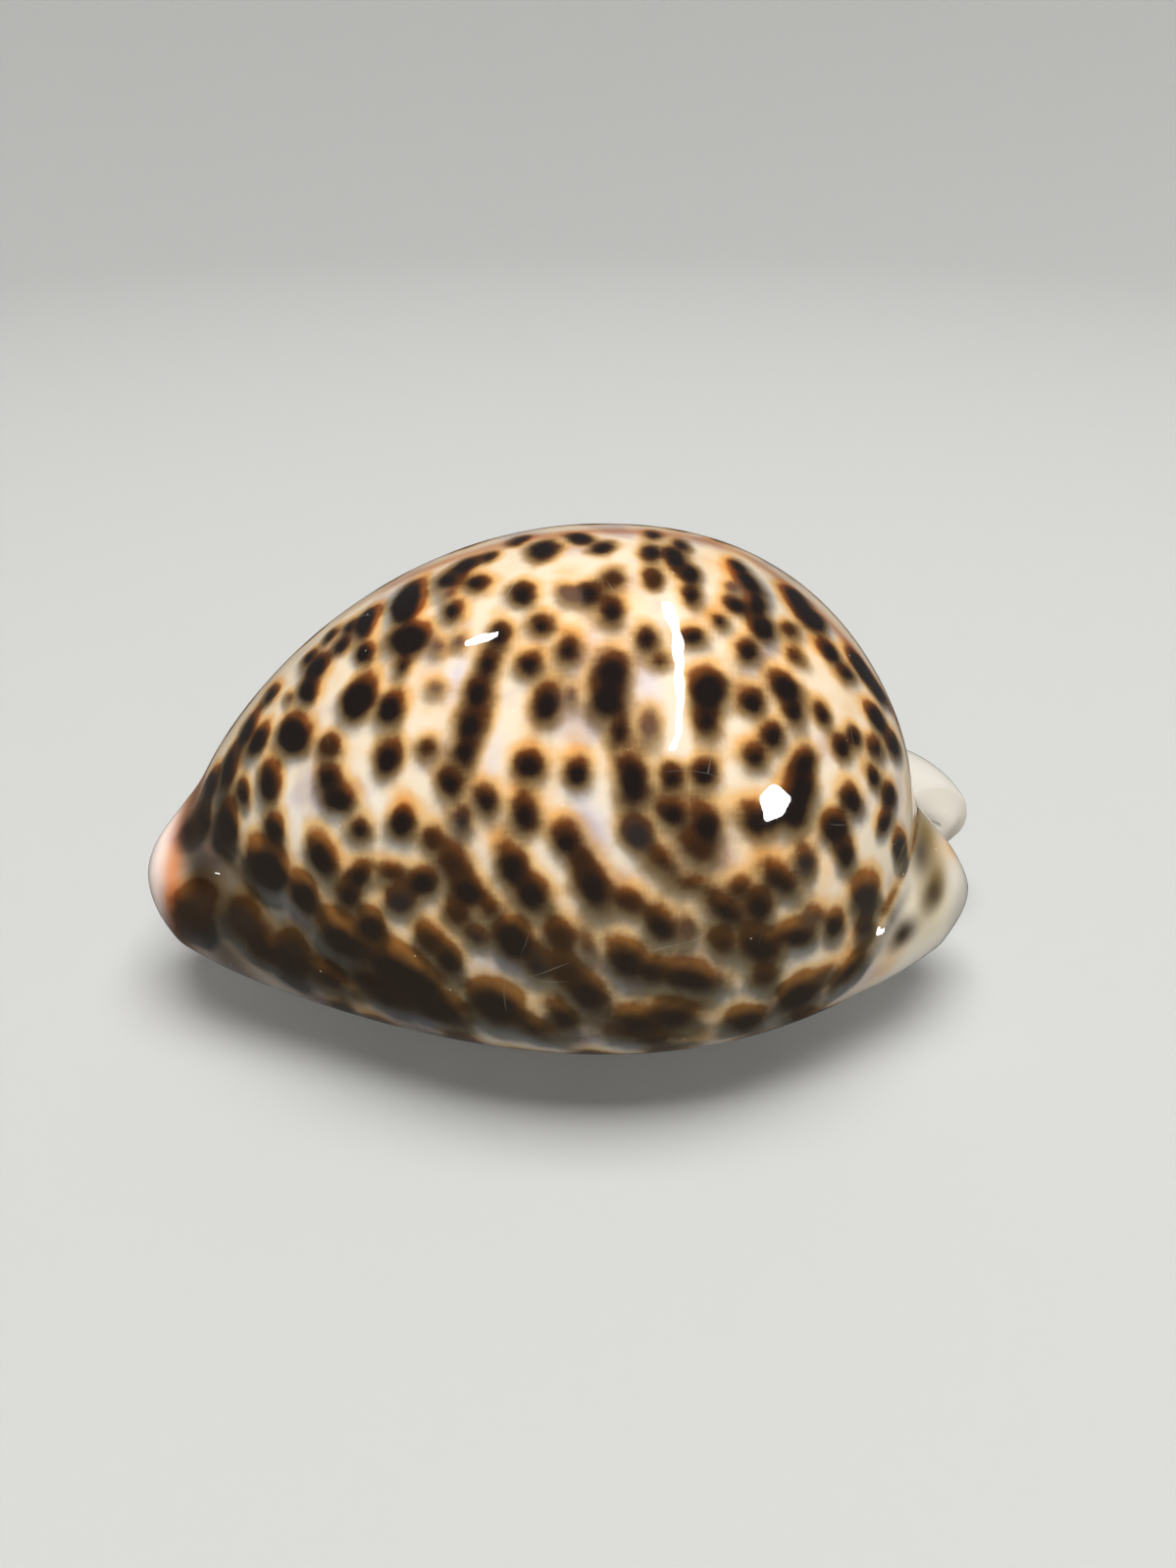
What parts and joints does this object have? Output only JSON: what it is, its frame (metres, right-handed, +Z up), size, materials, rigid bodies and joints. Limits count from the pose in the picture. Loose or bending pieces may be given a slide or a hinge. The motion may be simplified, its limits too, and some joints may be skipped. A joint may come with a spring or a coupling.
{
  "type": "tiger cowrie shell",
  "caption": "Glossy egg-shaped sea shell with a domed spotted back and a flat base, split by a long toothed aperture into the hollow inside.",
  "frame": {"origin": "on the resting plane, under the middle of the shell's length and width", "axes": "+X along the length towards the broad posterior end, +Y towards the outer lip side, +Z up"},
  "size_m": [0.0892, 0.0582, 0.045],
  "materials": {
    "enamel": "naturally polished, very glossy"
  },
  "bodies": {
    "root": {"shell": "enamel"}
  },
  "joints": []
}
